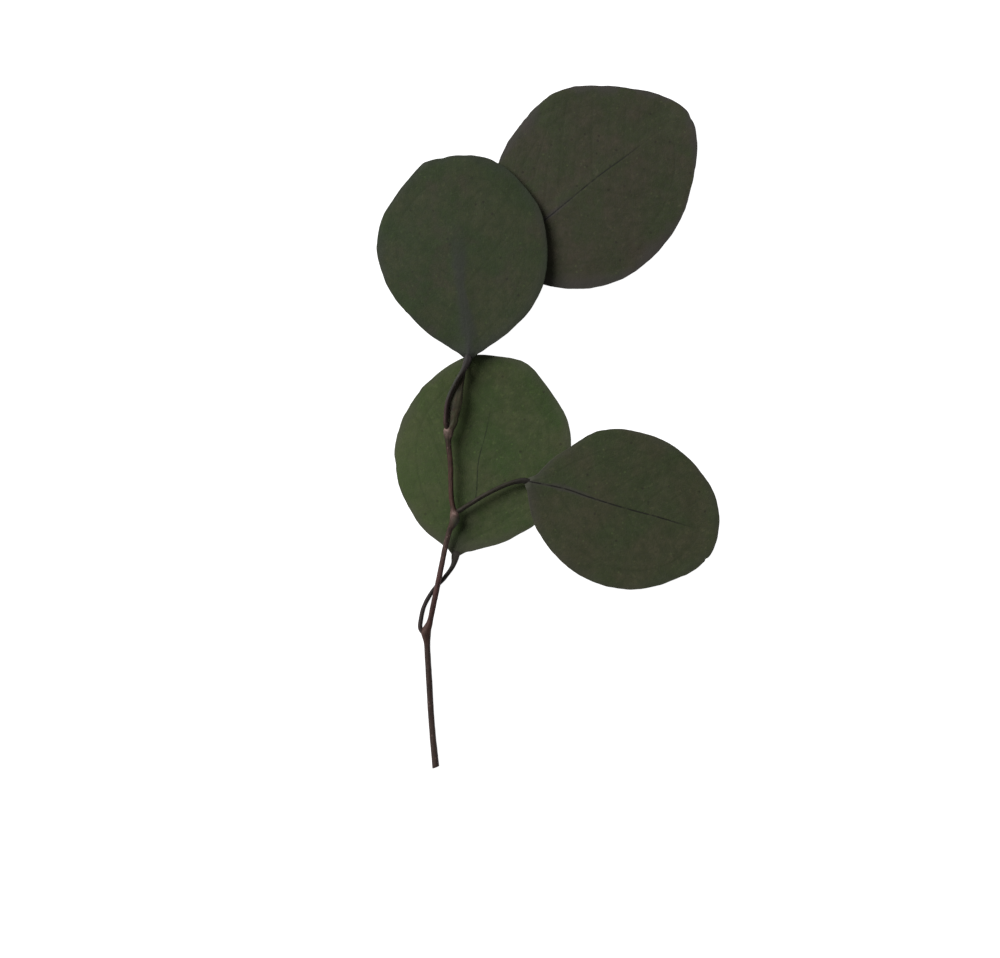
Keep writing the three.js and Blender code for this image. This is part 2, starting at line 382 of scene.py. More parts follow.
@dataclass(frozen=True)
class BarkFinish:
    """Thin young bark: a colour that changes along the bar, long streaks, scars and corky dots.

    `stops` are its colours by share of the bar, and `groove_painted_shade` is how much painted shade darkens
    the bar along its groove, on the side turned from the lamp.
    """

    name: str
    stops: tuple[tuple[float, Colour], ...]
    streak: Colour
    scar: Colour = (118, 96, 90)
    knob: Colour = (62, 66, 54)
    groove_painted_shade: float = 0.35
    tip: Colour = (64, 60, 58)
    wood: Colour = (104, 84, 62)
    seed: float = 0.0
    roughness: float = 0.7

    def material(self) -> bpy.types.Material:
        """Builds the material.

        Returns:
            A material that reads the bar's `bark` map (millimetres along and around) and its attributes.
        """
        g = Graph(self.name)
        streaks = g.moved(g.own_map("bark", (0.22, 1.0, 1.0)), self.seed)
        skin = g.moved(g.own_map("bark"), self.seed + 4.0)
        along, scar, knob, cut, groove, tip = (
            g.attribute(n) for n in ("along", "scar", "knob", "cut", "groove", "tip")
        )
        colour = g.ramp(along, self.stops)
        shade = tinted(self.stops[0][1], 0.5)
        lines = g.spread(g.noise(streaks, 2.2, 4.0, 0.65), 0.5, 0.72)
        colour = g.lay(colour, g.math("MULTIPLY", lines, 0.55), self.streak)
        furrows = g.spread(g.noise(g.moved(streaks, 15.0), 1.9, 3.0, 0.6), 0.52, 0.68, 0.0, 0.6)
        colour = g.lay(colour, furrows, shade)
        patches = g.spread(g.noise(skin, 0.3, 3.0), 0.45, 0.7, 0.0, 0.45)
        colour = g.lay(colour, patches, shade)
        # Painted shade: the bar is darkened along its groove, on the side turned from the lamp.
        colour = g.lay(colour, g.math("MULTIPLY", groove, self.groove_painted_shade), shade)
        dots = g.spread(g.cells(g.moved(skin, 9.0), 0.55), 0.1, 0.2, 0.3, 0.0)
        colour = g.lay(colour, dots, self.scar)
        colour = g.lay(colour, tip, self.tip)
        mottled = g.spread(g.noise(skin, 2.0, 4.0, 0.65), 0.3, 0.65, 0.45, 1.0)
        colour = g.lay(colour, g.math("MULTIPLY", knob, mottled), self.knob)
        colour = g.lay(colour, g.math("MULTIPLY", scar, mottled), self.scar)
        rings = g.spread(g.noise(skin, 4.0, 4.0, 0.7), 0.35, 0.7)
        wood = g.mix(rings, linear(self.wood), linear(tinted(self.wood, 0.6)))
        colour = g.mix(cut, colour, wood)

        g.put(g.shader, "Base Color", colour)
        g.put(g.shader, "Roughness", g.spread(lines, 0.0, 1.0, self.roughness - 0.08, self.roughness + 0.14))
        g.shader.inputs["Specular IOR Level"].default_value = SPECULAR
        height = g.math("SUBTRACT", g.math("MULTIPLY", lines, 0.5), g.math("MULTIPLY", furrows, 0.8))
        height = g.math("ADD", height, g.math("MULTIPLY", g.noise(skin, 5.0, 4.0), 0.4))
        g.put(g.shader, "Normal", g.bump(height, 0.08))
        return g.material


# --------------------------------------------------------------------- meshes


def cut_uprights(bm: bmesh.types.BMesh, cuts: int) -> None:
    """Cuts every face that stands between z 0 and z 1 into rows."""
    bm.edges.ensure_lookup_table()
    upright = [e for e in bm.edges if abs(e.verts[0].co.z - e.verts[1].co.z) > 0.5]
    bmesh.ops.subdivide_edges(bm, edges=upright, cuts=cuts, use_grid_fill=False)


def unit_bar(sides: int, rows: int, cap_rings: int) -> bmesh.types.BMesh:
    """A closed bar of radius 1 from z 0 to 1, cut into rows, with rings on both ends.

    Args:
        sides: How many faces there are round the bar.
        rows: How many faces there are along it.
        cap_rings: How many rings of faces each end has, round a last small fan.

    Returns:
        The bar, for a caller that moves its vertices into place.
    """
    bm = bmesh.new()
    bmesh.ops.create_cone(bm, cap_ends=True, segments=sides, radius1=1.0, radius2=1.0, depth=1.0)
    bmesh.ops.translate(bm, verts=bm.verts, vec=(0.0, 0.0, 0.5))
    for cap in [f for f in bm.faces if len(f.verts) == sides]:
        for _ in range(cap_rings):
            bmesh.ops.inset_region(bm, faces=[cap], thickness=1.0 / (cap_rings + 1), use_even_offset=True)
        bmesh.ops.poke(bm, faces=[cap])
    cut_uprights(bm, rows - 1)
    return bm


def unit_plate(cells: int, rim_rings: int) -> bmesh.types.BMesh:
    """A closed square plate from -1 to 1 and from z 0 to 1, with a grid on both faces.

    Args:
        cells: How many faces there are along each side.
        rim_rings: How many times the rim is cut through.

    Returns:
        The plate, for a caller that moves its vertices into place.
    """
    bm = bmesh.new()
    bmesh.ops.create_grid(bm, x_segments=cells, y_segments=cells, size=1.0)
    made = bmesh.ops.extrude_face_region(bm, geom=bm.faces[:])
    top = [v for v in made["geom"] if isinstance(v, bmesh.types.BMVert)]
    bmesh.ops.translate(bm, verts=top, vec=(0.0, 0.0, 1.0))
    cut_uprights(bm, rim_rings)
    bmesh.ops.recalc_face_normals(bm, faces=bm.faces[:])
    return bm


def finished(name: str, bm: bmesh.types.BMesh, place: Placer) -> bpy.types.Object:
    """Turns a unit shape into a piece.

    Args:
        name: The piece's name.
        bm: The unit shape. It is freed.
        place: Takes the unit points and gives the points in millimetres, and named values for each point.

    Returns:
        The piece, at the origin, with its values as attributes.
    """
    mesh = bpy.data.meshes.new(name)
    bm.to_mesh(mesh)
    bm.free()
    unit = np.empty(len(mesh.vertices) * 3, np.float32)
    mesh.vertices.foreach_get("co", unit)
    points, values = place(unit.reshape(-1, 3).astype(float))
    mesh.vertices.foreach_set("co", (points * MM).astype(np.float32).ravel())
    for key, value in values.items():
        made = mesh.attributes.new(key, "FLOAT", "POINT")
        made.data.foreach_set("value", value.astype(np.float32))
    mesh.polygons.foreach_set("use_smooth", np.ones(len(mesh.polygons), bool))
    mesh.update()
    piece = bpy.data.objects.new(name, mesh)
    bpy.context.scene.collection.objects.link(piece)
    return piece


def write_map(piece: bpy.types.Object, name: str, across: Array, up: Array, wrap: float = 0.0) -> None:
    """Writes a UV map from values at the points.

    Args:
        piece: The piece that gets the map.
        name: The map's name.
        across: The map's first coordinate at each point.
        up: Its second coordinate at each point.
        wrap: The length after which `up` starts again, or 0 if it doesn't.
    """
    mesh = piece.data
    corners = np.empty(len(mesh.loops), np.int32)
    mesh.loops.foreach_get("vertex_index", corners)
    second = up[corners]
    if wrap:
        starts = np.empty(len(mesh.polygons), np.int32)
        mesh.polygons.foreach_get("loop_start", starts)
        totals = np.diff(np.append(starts, len(corners)))
        high = np.repeat(np.maximum.reduceat(second, starts), totals)
        second = np.where(high - second > wrap / 2, second + wrap, second)
    made = mesh.uv_layers.new(name=name)
    pairs = np.stack([across[corners], second], axis=1)
    made.data.foreach_set("uv", pairs.astype(np.float32).ravel())


def dress(piece: bpy.types.Object, material: bpy.types.Material, node: str) -> None:
    """Gives a piece its material, and says what it stands for and rides on."""
    piece.data.materials.append(material)
    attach(piece, BODY)
    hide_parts(node)
    LOG.info("%s: %d faces, stands for %s", piece.name, len(piece.data.polygons), node)


# ----------------------------------------------------------------- stem, stalks


@dataclass(frozen=True)
class Collar:
    """A swelling of a bar at one place, all round or on one side.

    `away` is how far it reaches along the bar on each side. `turn` is its side, in
    degrees from the bar's right over its top, and `focus` how narrow it is there: 0
    goes all round. `pale` and `moss` say how much of the scar's and of the knob's
    colour it shows.
    """

    share: float
    extra: float
    away: float
    turn: float = 90.0
    focus: float = 0.0
    pale: float = 0.0
    moss: float = 0.0


@dataclass
class Bar:
    """A stem or a stalk: a round, ridged bar along a route, with a cap at each end.

    The radii stand at equal steps from the start to `radii_end`, a share of the
    route, and the bar tapers to `tip_radius` from there. It is flattened and widened
    round `radii_end` if it runs into a blade there, and its width grows by `flat_extra`
    round `flat_share`. Its groove lies GROOVE_TURN degrees round from its right-hand side.
    """

    FLAT_REACH = 5.6
    GROOVE_TURN, GROOVE_WIDTH, GROOVE_SHADE_WIDTH = 60.0, 0.5, 0.75
    TWIST = 0.06
    LUMP_SIZE, RIDGE_DRIFT_SIZE = 2.2, 6.0
    END_REACH, BLADE_REACH, TIP_REACH = 1.2, 2.2, 6.0
    CAP_DISH = 0.12

    name: str
    route: Route
    radii: Sequence[float]
    radii_end: float = 1.0
    tip_radius: float = 0.1
    sides: int = 28
    rows: int = 160
    ridges: int = 7
    ridge_depth: float = 0.03
    angular: float = 0.03
    groove_depth: float = 0.0
    flatten: float = 0.0
    widen: float = 0.0
    flat_share: float = 0.0
    flat_extra: float = 0.0
    slant: float = 0.0
    collars: list[Collar] = field(default_factory=list)
    seed: float = 1.0

    def off_groove(self, turn: Array) -> Array:
        """The angle between a place on the bar and the middle of its groove."""
        return np.arccos(np.cos(turn - math.radians(self.GROOVE_TURN)))

    def radius(self, share: Array, turn: Array, points: Array) -> tuple[Array, Array, Array]:
        """Radius at a place on the bar.

        Args:
            share: The place along the route, from 0 to 1.
            turn: The angle round the bar, from its right-hand side over its top.
            points: The same places on a smooth bar, for the noise.

        Returns:
            The radius in millimetres, and how much of a scar and of a knob shows there.
        """
        steps = [*np.linspace(0, self.radii_end, len(self.radii)), 1.0001]
        radius = np.interp(share, steps, [*self.radii, self.tip_radius])
        twist = turn + self.TWIST * share * self.route.length
        radius = radius * (1.0 + self.angular * np.cos(4 * twist))
        lumps = cloud(points, self.LUMP_SIZE, self.seed)
        drift = cloud(points, self.RIDGE_DRIFT_SIZE, self.seed + 3.0)
        ribbing = np.cos(self.ridges * twist + 2.5 * drift)
        radius = radius + self.ridge_depth * (0.6 * ribbing + 1.3 * lumps)
        scars, knobs = np.zeros_like(radius), np.zeros_like(radius)
        for collar in self.collars:
            off = (share - collar.share) * self.route.length
            facing = 0.5 + 0.5 * np.cos(turn - math.radians(collar.turn))
            radius = radius + collar.extra * bump(off, collar.away) * facing**collar.focus
            shown = bump(off, 0.85 * collar.away) * facing ** (1.5 * collar.focus)
            scars = np.maximum(scars, collar.pale * shown)
            knobs = np.maximum(knobs, collar.moss * np.minimum(1.4 * shown, 1.0))
        groove = self.groove_depth * bump(self.off_groove(turn), self.GROOVE_WIDTH)
        return radius - groove, scars, knobs

    def place(self, unit: Array) -> tuple[Array, dict[str, Array]]:
        """Moves the unit bar's points onto the route.

        Args:
            unit: The unit bar's points.

        Returns:
            The points in millimetres, and the values that the bark reads.
        """
        share = np.clip(unit[:, 2], 0.0, 1.0)
        # Side, over and way are left-handed, so the unit bar goes in mirrored to keep its faces outwards.
        turn = np.arctan2(unit[:, 1], -unit[:, 0])
        fill = np.minimum(np.hypot(unit[:, 0], unit[:, 1]), 1.0)
        centre, way = self.route.at(share), self.route.heading(share)
        side = np.cross(way, (0.0, 0.0, 1.0))
        side /= np.linalg.norm(side, axis=1, keepdims=True)
        over = np.cross(side, way)
        smooth = centre + np.cos(turn)[:, None] * side + np.sin(turn)[:, None] * over
        radius, scars, knobs = self.radius(share, turn, smooth)
        wide = radius * fill
        to_blade = (share - self.radii_end) * self.route.length
        flat = smoothstep(-5.0, 0.0, to_blade)
        to_flat = (share - self.flat_share) * self.route.length
        width = 1.0 + self.widen * bump(to_blade, self.BLADE_REACH)
        width += self.flat_extra * bump(to_flat, self.FLAT_REACH)
        points = (
            centre
            + (np.cos(turn) * wide * width)[:, None] * side
            + (np.sin(turn) * wide * (1.0 - self.flatten * flat))[:, None] * over
        )
        on_cap = fill < 0.999
        near_start = bump(share * self.route.length, self.END_REACH)
        lean = self.slant * near_start * np.cos(turn) * fill
        dished = self.CAP_DISH * on_cap * (1.0 - fill**2) * near_start
        points += (lean * radius + dished)[:, None] * way
        points[:, 2] = np.maximum(points[:, 2], 0.0)
        values = {
            "along": share,
            "scar": scars,
            "knob": knobs,
            "cut": (on_cap & (share < 0.5)).astype(float),
            # The groove value is also the mask of that painted shade, wider than the groove itself.
            "groove": bump(self.off_groove(turn), self.GROOVE_SHADE_WIDTH) * float(self.groove_depth > 0),
            "tip": smoothstep(-self.TIP_REACH, 0.5, to_blade) * float(self.radii_end < 1.0),
            "around": (turn % (2 * math.pi)) * radius.mean(),
        }
        return points, values

    def build(self) -> bpy.types.Object:
        """Makes the bar's mesh and its `bark` map.

        Returns:
            The piece, not yet dressed.
        """
        piece = finished(self.name, unit_bar(self.sides, self.rows, 3), self.place)
        count = len(piece.data.vertices)
        along, around = np.empty(count, np.float32), np.empty(count, np.float32)
        piece.data.attributes["along"].data.foreach_get("value", along)
        piece.data.attributes["around"].data.foreach_get("value", around)
        write_map(piece, "bark", along * self.route.length, around, wrap=float(around.max()))
        return piece


# ----------------------------------------------------------------------- blades


class Side(Enum):
    """The two faces of a blade, with what the finish reads as `under` on each."""

    UPPER = 0.0
    UNDER = 1.0


class CadBlade:
    """What a blade takes from its CAD node: its margin in plan, and the height of its upper face."""

    RAYS_FROM = 0.05

    def __init__(self, node: str) -> None:
        """Reads the node.

        Args:
            node: The CAD node's name.
        """
        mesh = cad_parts[node].data
        points = np.empty(len(mesh.vertices) * 3, np.float32)
        mesh.vertices.foreach_get("co", points)
        self.points = points.reshape(-1, 3).astype(float)
        faces = [tuple(f.vertices) for f in mesh.polygons]
        self.tree = BVHTree.FromPolygons(self.points.tolist(), faces)
        walls = [f.vertices for f in mesh.polygons if abs(f.normal.z) < 0.35]
        self.rim = np.unique(np.round(self.points[np.concatenate(walls)][:, :2] / MM, 4), axis=0)

    def margin(self, middle: Array, heading: float) -> tuple[Array, Array]:
        """The margin as a distance from a middle point, for 720 directions from the heading.

        Args:
            middle: The point in plan that distances are measured from, in millimetres.
            heading: The direction that angle 0 has, in radians.

        Returns:
            The angles from -pi to pi, and the distance at each.
        """
        away = self.rim - middle
        angle = (np.arctan2(away[:, 1], away[:, 0]) - heading + math.pi) % (2 * math.pi) - math.pi
        order = angle.argsort()
        angle, reach = angle[order], np.hypot(*away.T)[order]
        directions = np.linspace(-math.pi, math.pi, 721)
        around = np.concatenate([angle - 2 * math.pi, angle, angle + 2 * math.pi])
        return directions, np.interp(directions, around, np.tile(reach, 3))

    def top(self, x: Array, y: Array) -> Array:
        """Height of the upper face at places in plan, in millimetres."""
        down = Vector((0.0, 0.0, -1.0))
        heights = []
        for px, py in zip(x.ravel() * MM, y.ravel() * MM):
            hit = self.tree.ray_cast(Vector((px, py, self.RAYS_FROM)), down)[0]
            if hit is None:
                hit = self.tree.find_nearest(Vector((px, py, 0.0)))[0]
            heights.append(hit.z)
        return np.array(heights).reshape(x.shape) / MM


@dataclass
class Venation:
    """A blade's veins, in the blade's own plane: along from the base, and across to the left."""

    STEPS, STRIDE, OVERSHOOT = 14, 0.085, 1.164

    midrib: list[tuple[float, float]]
    pairs: int = 9
    angle: float = 47.0
    loop: float = 0.76
    seed: float = 0.0

    def lines(self, half: float, margin: Callable[[Array], Array]) -> list[tuple[Array, float]]:
        """Works out the side veins and the long vein that joins their ends inside the margin.

        Args:
            half: Half the blade's length.
            margin: The margin's distance from the blade's middle, by angle.

        Returns:
            Each vein as its points, measured from the blade's middle, and its strength.
        """
        made: list[tuple[Array, float]] = []
        spine = Route([(a, b, 0.0) for a, b in self.midrib])
        for hand in (1, -1):
            turns = np.radians(np.array([8, 30, 60, 90, 120, 143, 160, 172, 179])) * hand
            shares = np.array([0.8, 0.8, 0.78, 0.75, 0.74, 0.78, 0.83, 0.87, 0.95]) * self.loop / 0.76
            reach = margin(turns) * shares
            ring = np.stack([reach * np.cos(turns), reach * np.sin(turns), 0 * turns], axis=1)
            made.append((Route(ring).line[:, :2], 0.9))
            for k in range(self.pairs):
                wobble = noise.noise((k * 1.7, self.seed, hand * 3.0))
                start = 0.05 + (k + 0.35 * (hand > 0) + 0.3 * wobble) / self.pairs * 0.85
                if start > 0.93:
                    continue
                root = spine.at(np.array([start]))[0][:2] - (half, 0.0)
                way = spine.heading(np.array([start]))[0][:2]
                lean = math.radians(self.angle + 10.0 * start + 6.0 * wobble) * hand
                points = [root]
                bend = lean
                for step in np.linspace(0, 1, self.STEPS)[1:]:
                    turned = np.array([
                        way[0] * math.cos(bend) - way[1] * math.sin(bend),
                        way[0] * math.sin(bend) + way[1] * math.cos(bend),
                    ])
                    points.append(points[-1] + turned * half * self.STRIDE)
                    bend = lean * (1.0 - 0.28 * step)
                    angle = math.atan2(points[-1][1], points[-1][0])
                    edge = float(margin(np.array([angle]))[0])
                    if np.hypot(*points[-1]) > self.OVERSHOOT * self.loop * edge:
                        break
                made.append((np.array(points), 0.55 + 0.25 * (k % 2)))
        return made

    @staticmethod
    def nearest(x: Array, y: Array, line: Array) -> Array:
        """Distance from each place to a line of points."""
        best = np.full(x.shape, np.inf)
        for a, b in zip(line[:-1], line[1:]):
            way = b - a
            span = float(way @ way) or 1.0
            t = np.clip(((x - a[0]) * way[0] + (y - a[1]) * way[1]) / span, 0.0, 1.0)
            best = np.minimum(best, np.hypot(x - a[0] - t * way[0], y - a[1] - t * way[1]))
        return best


@dataclass(frozen=True)
class Nick:
    """A small dent (or, if negative, a small bulge) in a blade's margin."""

    angle: float
    depth: float
    width: float


@dataclass
class Blade:
    """One leaf blade: a thin plate with a rounded rim, a midrib, veins and a cockled surface."""

    WAVE, WAVE_SIZE = 0.22, 7.0
    NECK_WIDTH, NECK_DIP = 0.042, 0.25
    INSIDE = 0.992
    VEIN_WIDTH, VEIN_SUNK, VEIN_RAISED = 0.3, 0.03, 0.07
    COCKLE_SIZE, CURL_SIZE = 14.0, 16.0
    PUCKER, PUCKER_SIZE = 0.035, 2.6
    ARCH, ARCH_WIDTH = 0.22, 2.6
    BASE_SWELL, BASE_REACH = 0.3, 3.0
    RIM_THINNING = 0.4

    leaf: str
    base: tuple[float, float]
    heading: float
    length: float
    veins: Venation
    finish: LeafFinish
    slot: str
    nicks: list[Nick] = field(default_factory=list)
    cockle: float = 0.16
    curl: float = 0.25
    seed: float = 1.0
    cells: int = 170
    thickness: float = 0.36
    cad_thickness: float = 0.45
    groove: float = 0.07
    rib_height: float = 0.42
    top_ridge: float = 0.0
    neck: float = 1.8

    def __post_init__(self) -> None:
        """Reads the CAD node and works out the blade's own plane."""
        self.node = f"{self.leaf}_blade"
        self.cad = CadBlade(self.node)
        self.turn = math.radians(self.heading)
        self.ahead = np.array([math.cos(self.turn), math.sin(self.turn)])
        self.left = np.array([-self.ahead[1], self.ahead[0]])
        self.half = self.length / 2
        self.middle = np.array(self.base) + self.ahead * self.half
        self.directions, self.reaches = self.cad.margin(self.middle, self.turn)

    def margin(self, angle: Array) -> Array:
        """Distance from the blade's middle to the CAD's margin, by angle from the heading."""
        return np.interp(angle, self.directions, self.reaches, period=2 * math.pi)

    def worn_margin(self, angle: Array) -> Array:
        """The margin with its nicks, its small waves and the neck that runs onto the stalk."""
        reach = self.margin(angle)
        ring = np.stack([np.cos(angle), np.sin(angle), 0 * angle], axis=-1) * self.half
        reach = reach + self.WAVE * cloud(ring, self.WAVE_SIZE, self.seed + 40.0, 3)
        for nick in self.nicks:
            away = (angle - math.radians(nick.angle) + math.pi) % (2 * math.pi) - math.pi
            reach = reach - nick.depth * bump(away * self.half, nick.width)
        back = np.abs((angle + 2 * math.pi) % (2 * math.pi) - math.pi)
        return reach + self.neck * np.exp(-back / self.NECK_WIDTH) - self.NECK_DIP * bump(back - 0.1, 0.035)

    def heights(self, x: Array, y: Array, share: Array) -> dict[str, Array]:
        """Works out both faces and the values that the finish reads.

        Args:
            x: Places along the blade, measured from its middle.
            y: The same places across the blade.
            share: Their share of the way from the middle to the margin.

        Returns:
            The heights `upper` and `under`, and the finish's values, at each place.
        """
        plan = self.middle + x[..., None] * self.ahead + y[..., None] * self.left
        inside = self.middle + self.INSIDE * (plan - self.middle)
        top = blurred(self.cad.top(inside[..., 0], inside[..., 1]), 3)
        middle = top - self.cad_thickness / 2

        spine = Route([(a, b, 0.0) for a, b in self.veins.midrib])
        line = spine.line[:, :2] - (self.half, 0.0)
        rib = self.veins.nearest(x, y, line)
        along = np.clip((x + self.half) / self.length, 0.0, 1.0)
        fade = 1.0 - smoothstep(0.72, 1.0, along)
        vein = np.zeros_like(x)
        for points, strength in self.veins.lines(self.half, self.margin):
            vein = np.maximum(vein, strength * bump(self.veins.nearest(x, y, points), self.VEIN_WIDTH))
        vein *= 1.0 - smoothstep(0.93, 1.0, share)

        places = np.stack([plan[..., 0], plan[..., 1], 0 * x], axis=-1)
        cockle = self.cockle * cloud(places, self.COCKLE_SIZE, self.seed, 3)
        pucker = self.PUCKER * cloud(places, self.PUCKER_SIZE, self.seed + 9.0, 2)
        angle = np.arctan2(y, x)
        ring = np.stack([np.cos(angle), np.sin(angle), 0 * angle], axis=-1) * self.half
        curl = self.curl * cloud(ring, self.CURL_SIZE, self.seed + 21.0, 2) * smoothstep(0.7, 1.0, share)
        arch = self.ARCH * bump(rib, self.ARCH_WIDTH) * (1.0 - along)
        middle = np.maximum(middle + cockle + pucker + curl + arch, self.thickness / 2 + 0.02)

        near_base = np.hypot(x + self.half, y)
        thick = self.thickness * (1.0 - self.RIM_THINNING * smoothstep(0.94, 1.0, share))
        thick = thick + self.BASE_SWELL * bump(near_base, self.BASE_REACH)
        groove = self.groove * bump(rib, 0.16 + 0.12 * (1.0 - along)) * fade
        top_ridge = self.top_ridge * bump(rib, 0.5) * (1.0 - smoothstep(0.0, 0.16, along))
        upper = middle + thick / 2 - groove + top_ridge - self.VEIN_SUNK * vein
        ridge = self.rib_height * bump(rib, 0.28 + 0.45 * (1.0 - along)) * fade * (1.0 - 0.7 * along)
        under = np.maximum(middle - thick / 2 - ridge - self.VEIN_RAISED * vein, 0.0)
        edge = (1.0 - share) * self.margin(angle)
        return {"upper": upper, "under": under, "rib": rib, "vein": vein, "along": along, "edge": edge}

    def place(self, unit: Array) -> tuple[Array, dict[str, Array]]:
        """Moves the unit plate's points to the blade's two faces and its rim.

        Args:
            unit: The unit plate's points.

        Returns:
            The points in millimetres, and the values that the finish reads.
        """
        ticks = np.linspace(-1, 1, self.cells + 1)
        drawn_in = ticks * (0.72 + 0.28 * ticks**2)
        s, t = np.meshgrid(ticks, drawn_in, indexing="ij")
        x, y = s * np.sqrt(1 - t**2 / 2), t * np.sqrt(1 - s**2 / 2)
        share, angle = np.hypot(x, y), np.arctan2(y, x)
        reach = self.worn_margin(angle) * share
        plane_x, plane_y = reach * np.cos(angle), reach * np.sin(angle)
        fields = self.heights(plane_x, plane_y, share)

        i = np.rint((unit[:, 0] + 1) / 2 * self.cells).astype(int)
        j = np.rint((unit[:, 1] + 1) / 2 * self.cells).astype(int)
        level = unit[:, 2]
        tuck = 1.0 - 0.004 * (2 * level - 1) ** 2 * (share[i, j] > 0.999)
        px, py = plane_x[i, j] * tuck, plane_y[i, j] * tuck
        plan = self.middle + px[:, None] * self.ahead + py[:, None] * self.left
        z = fields["under"][i, j] * (1 - level) + fields["upper"][i, j] * level
        values = {key: fields[key][i, j] for key in ("rib", "vein", "along", "edge")}
        values["across"] = py
        values["under"] = np.where(level > 0.45, Side.UPPER.value, Side.UNDER.value)
        self.plane = (px + self.half, py)
        return np.column_stack([plan, z]), values

    def build(self) -> bpy.types.Object:
        """Makes and dresses the blade.

        Returns:
            The finished piece.
        """
        piece = finished(f"{self.leaf}_blade_fine", unit_plate(self.cells, 3), self.place)
        write_map(piece, "leaf", *self.plane)
        dress(piece, self.finish.material(), self.node)
        return piece


# ------------------------------------------------------------------------ sprig

# The stem's centre line as in the CAD, but up to 0.35 mm further left and 0.15 mm lower
# along the flat stretch, then its radii at equal steps, its nodes, and the flat stretch.
STEM_ROUTE: list[Point] = [
    (-33.8, -102.1, 1.06), (-35.0, -89.0, 1.06), (-35.9, -73.5, 1.4), (-36.3, -62.2, 1.95),
    (-35.2, -57.0, 2.2), (-33.4, -48.5, 2.6), (-31.9, -41.0, 2.85), (-30.2, -33.0, 3.1),
    (-28.4, -26.6, 3.35), (-29.1, -21.0, 3.5), (-29.3, -12.0, 3.75), (-29.9, -1.6, 4.1),
    (-28.7, 0.8, 4.15), (-28.4, 3.5, 4.25), (-27.8, 6.9, 4.45), (-27.0, 10.5, 4.4),
    (-25.9, 14.5, 4.05), (-24.9, 19.0, 3.8), (-22.6, 26.0, 3.6), (-21.6, 30.2, 3.4),
    (-22.0, 33.0, 3.3),
]
STEM_RADII = [0.98, 0.95, 0.91, 0.92, 0.83, 0.82, 0.83, 0.72, 0.78, 0.87, 0.78, 0.7, 0.45]
FIRST_NODE, SECOND_NODE = (-36.3, -62.2), (-28.4, -26.6)
THIRD_NODE, LAST_NODE = (-29.9, -1.6), (-21.6, 30.2)
FLAT_STRETCH, FLAT_EXTRA = (-27.8, 6.7), 1.4
LEFT, RIGHT = 180.0, 0.0


class Stem:
    """The woody stem, from its cut end to the dry stub under the top leaf."""

    def collars(self, route: Route) -> list[Collar]:
        """The swellings of the stem: its flared cut, its four nodes and the knob at the second one."""
        node_1, node_2, node_3, node_4 = (
            route.share_near(*at) for at in (FIRST_NODE, SECOND_NODE, THIRD_NODE, LAST_NODE)
        )
        step = 1.0 / route.length
        return [
            Collar(0.0, 0.06, 2.0),
            Collar(node_1, 0.2, 2.4),
            Collar(node_1 + 0.6 * step, 0.85, 2.0, LEFT, 1.6, pale=0.12),
            Collar(node_1 + 3.0 * step, 0.12, 1.0, RIGHT, 1.0),
            Collar(node_2, 0.18, 1.8),
            # A small pale spot on top of the second node: a painted highlight on its pale scar.
            Collar(node_2 + 0.6 * step, 0.22, 0.75, 70.0, 2.5, pale=1.0),
            Collar(node_2 + 0.2 * step, 0.16, 1.8, 150.0, 1.5, pale=0.5),
            Collar(node_2 - 1.4 * step, 1.15, 2.0, 12.0, 1.3, moss=1.0),
            Collar(node_3 - 0.3 * step, 0.44, 1.7, pale=0.45),
            Collar(node_3 + 0.4 * step, 0.12, 0.9, 130.0, 1.5, pale=1.0),
            Collar(node_3 - 1.2 * step, 0.12, 1.0, 35.0, 1.5, pale=0.85),
            Collar(node_4, 0.25, 1.4),
        ]

    def build(self) -> bpy.types.Object:
        """Makes and dresses the stem.

        Returns:
            The finished piece.
        """
        route = Route(STEM_ROUTE)
        bar = Bar(
            "main_stem_fine", route, STEM_RADII, tip_radius=STEM_RADII[-1], sides=44, rows=700, ridges=9,
            ridge_depth=0.032, angular=0.03, flat_share=route.share_near(*FLAT_STRETCH),
            flat_extra=FLAT_EXTRA, slant=0.3, collars=self.collars(route), seed=2.0,
        )
        piece = bar.build()
        finish = BarkFinish(
            "stem_bark",
            stops=(
                (0.0, (54, 43, 38)), (0.26, (58, 45, 40)), (0.31, (62, 40, 35)), (0.4, (66, 42, 40)),
                (0.5, (62, 48, 42)), (0.57, (64, 44, 37)), (0.7, (63, 44, 38)), (0.725, (50, 46, 34)),
                (0.76, (55, 54, 38)),
                (1.0, (52, 50, 36)),
            ),
            streak=(76, 56, 50), scar=(120, 98, 92), knob=(54, 59, 47), seed=1.0,
        )
        dress(piece, finish.material(), "main_stem")
        return piece


